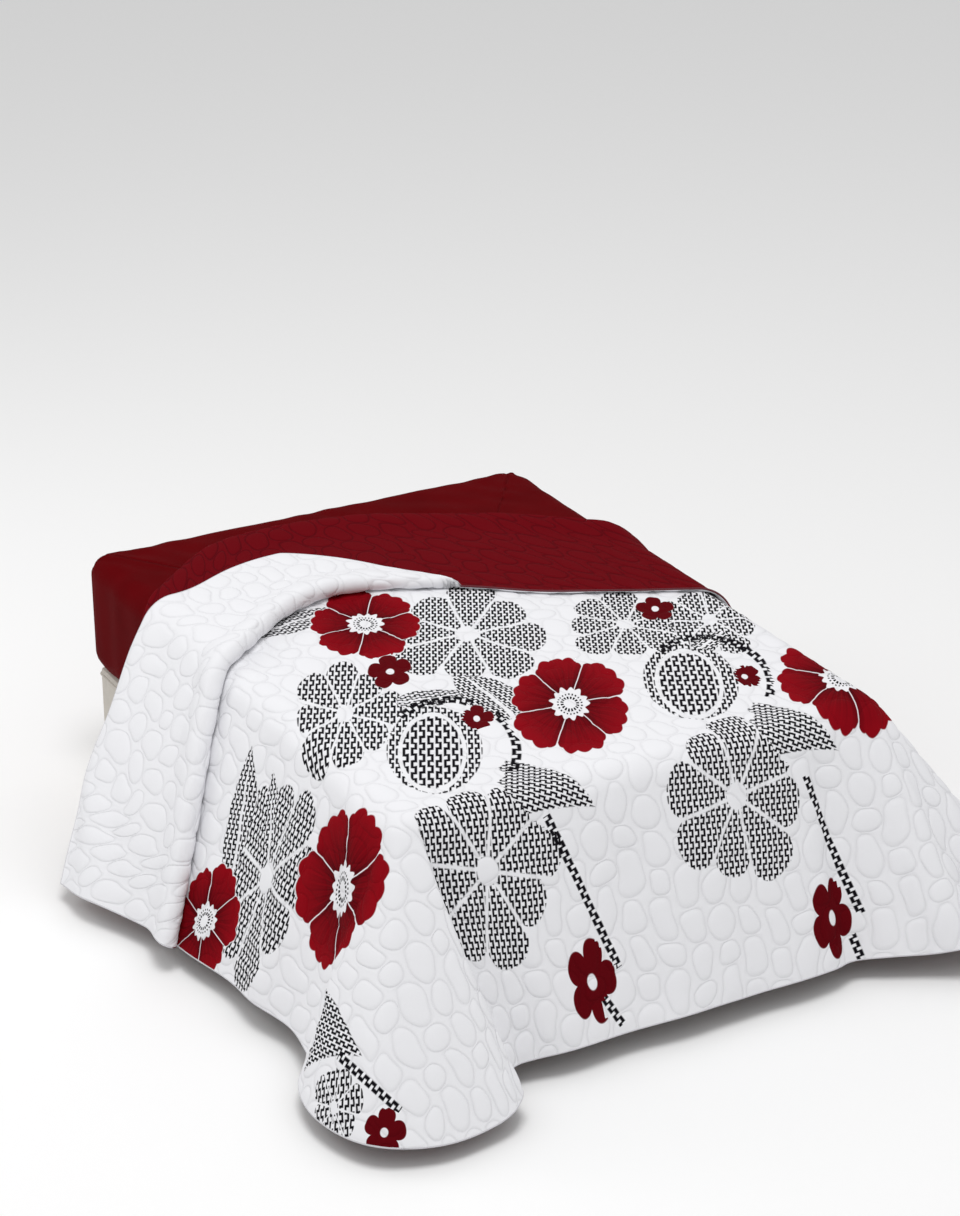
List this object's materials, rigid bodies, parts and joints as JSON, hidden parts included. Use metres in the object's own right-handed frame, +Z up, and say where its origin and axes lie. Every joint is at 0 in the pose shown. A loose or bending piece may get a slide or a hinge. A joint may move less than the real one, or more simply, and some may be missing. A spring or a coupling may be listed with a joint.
{
  "type": "quilt on a mattress and bed base",
  "caption": "Pebble-quilted bed quilt, turned down at the head and draped to the floor over a mattress and plain bed base.",
  "frame": {"origin": "middle of the bed base's underside, on the floor", "axes": "+Z up, +Y towards the head of the bed, +X towards the bed's left side as one lies in it face up"},
  "size_m": [2.152, 2.2929, 0.718],
  "materials": {
    "quilted_cotton": "matte quilted cotton, white ground with a dark red and black floral print, dark red reverse",
    "red_sheeting": "smooth dark red cotton sheeting",
    "base_cloth": "plain pale upholstery cloth"
  },
  "bodies": {
    "root": {"quilt": "quilted_cotton", "mattress": "red_sheeting", "bed_base": "base_cloth"}
  },
  "joints": []
}
